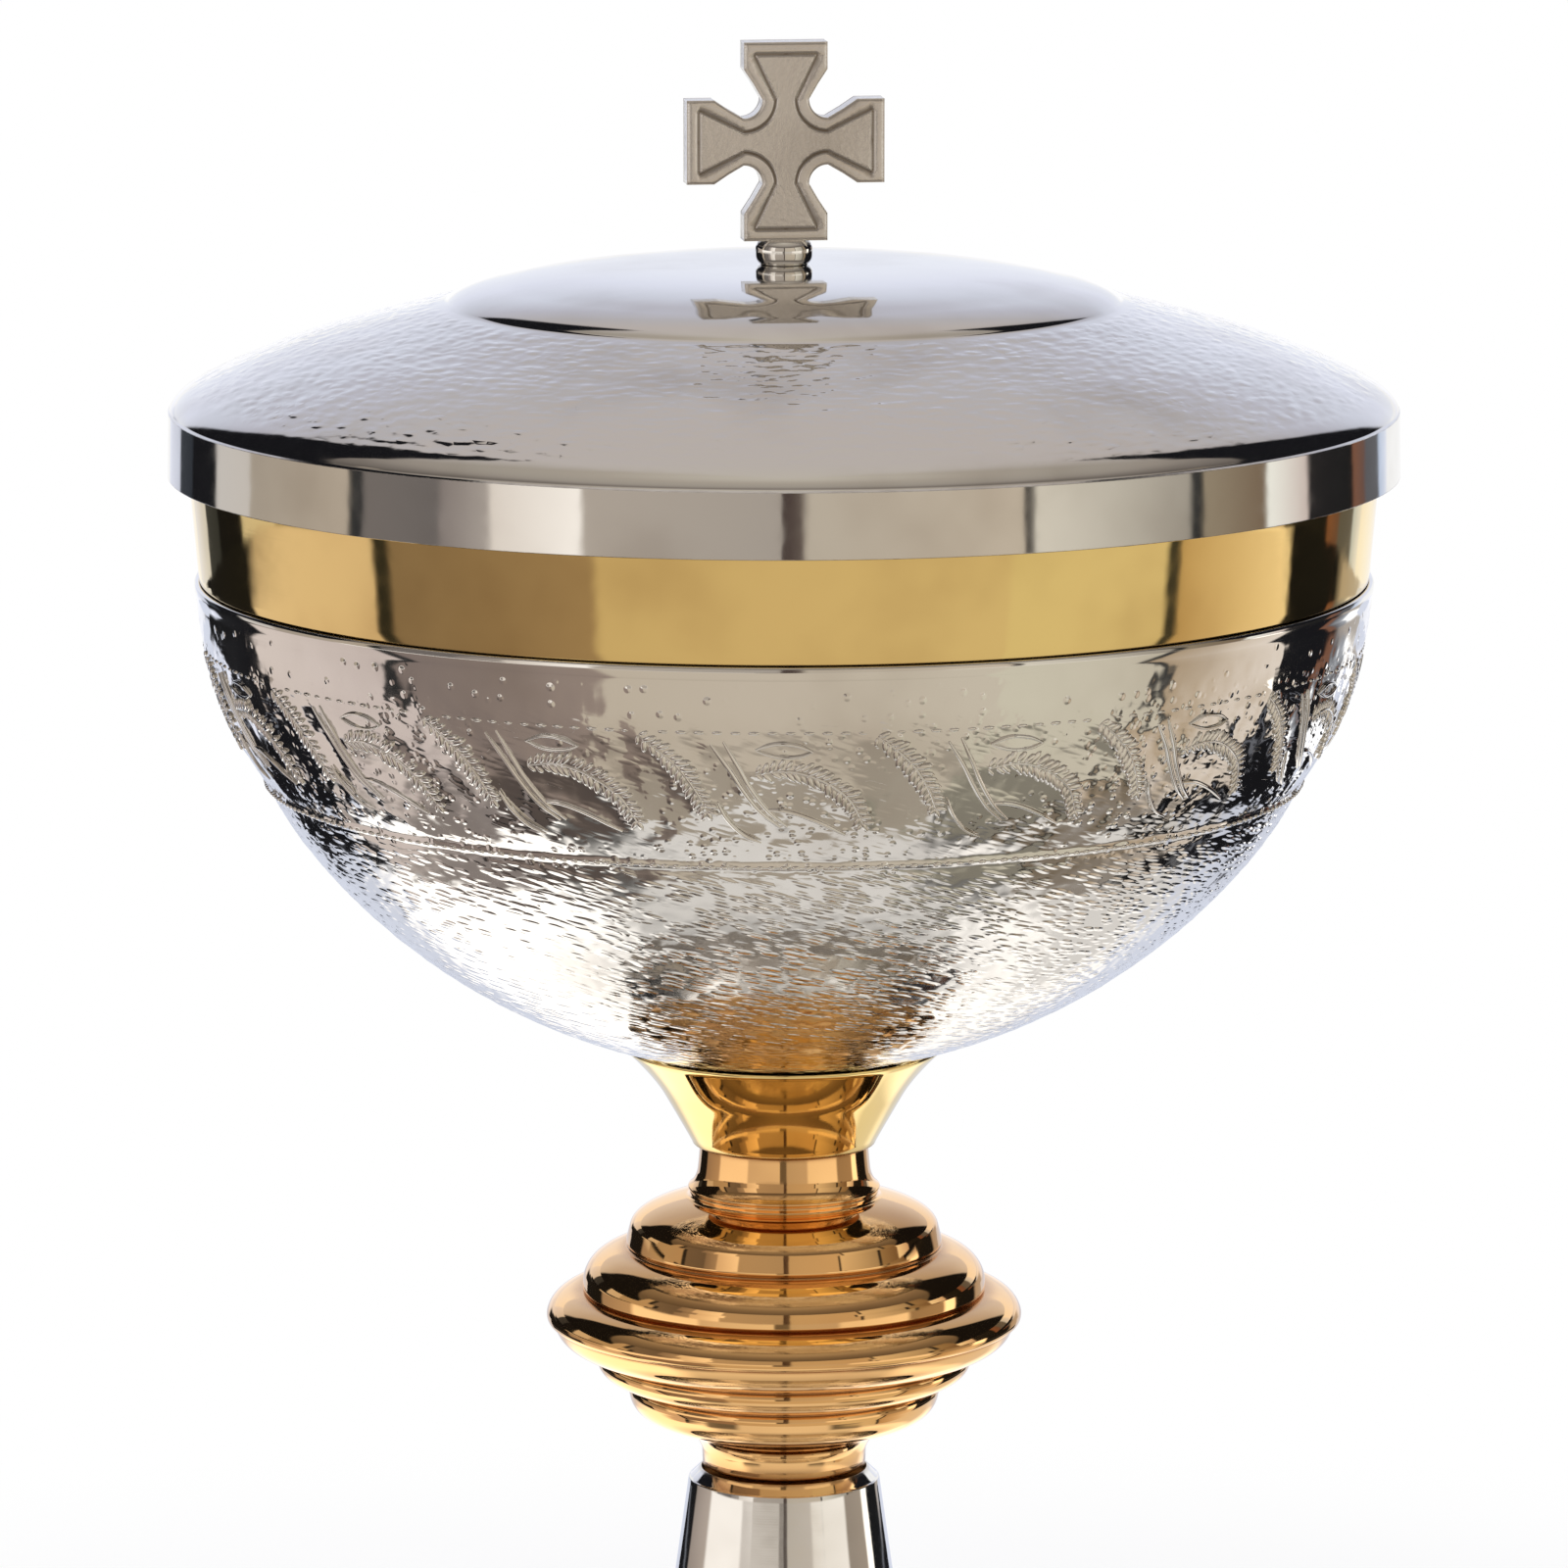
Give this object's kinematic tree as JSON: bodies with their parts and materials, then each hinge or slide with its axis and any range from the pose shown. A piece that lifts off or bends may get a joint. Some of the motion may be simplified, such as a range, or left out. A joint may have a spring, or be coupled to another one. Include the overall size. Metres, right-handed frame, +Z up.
{
  "type": "covered ciborium",
  "caption": "Covered pyx of the ciborium form: a hammered bowl with a gold band on a ringed knop and a trumpet foot, with a lift-off domed lid that carries a cross.",
  "frame": {"origin": "centre of the flat underside of the foot, on the vessel's axis", "axes": "+Z up along the vessel's axis, towards the cross; the cross lies in the XZ plane and its faces look along +Y and -Y"},
  "size_m": [0.1344, 0.1344, 0.2289],
  "materials": {
    "gold_lining": "gold plate, polished outside and satin inside",
    "hammered_silver": "silver plate, hammered, with a chased frieze",
    "lid_silver": "silver plate, hammered dome, polished skirt and boss",
    "foot_silver": "silver plate, polished cone and rim, hammered flare",
    "polished_silver": "silver plate, polished",
    "cast_silver": "cast, silver plated, polished border and grained panel",
    "yellow_gold": "yellow gold plate, polished",
    "red_gold": "red gold plate, polished",
    "plain_brass": "turned, unplated",
    "plain_steel": "turned"
  },
  "bodies": {
    "vessel": {"cup": "gold_lining", "cup_sheath": "hammered_silver", "cup_boss": "plain_brass", "tie_rod": "plain_steel", "collar": "yellow_gold", "knop_upper_shell": "red_gold", "knop_lower_shell": "red_gold", "knop_top_washer": "plain_brass", "knop_core_tube": "plain_brass", "knop_bottom_washer": "plain_brass", "foot_shell": "foot_silver", "foot_top_disc": "plain_brass", "foot_washer": "plain_steel", "foot_spring_washer": "plain_steel", "foot_nut": "plain_steel", "foot_base_ring": "plain_brass"},
    "lid": {"lid_shell": "lid_silver", "lid_locating_ring": "polished_silver", "cross_bead": "polished_silver", "cross": "cast_silver", "cross_stud": "plain_steel", "cross_washer": "plain_steel", "cross_nut": "plain_steel"}
  },
  "joints": [
    {"name": "lid_lift", "type": "slide", "parent": "vessel", "child": "lid", "axis": [0, 0, 1], "range_m": [0, 0.1]}
  ]
}
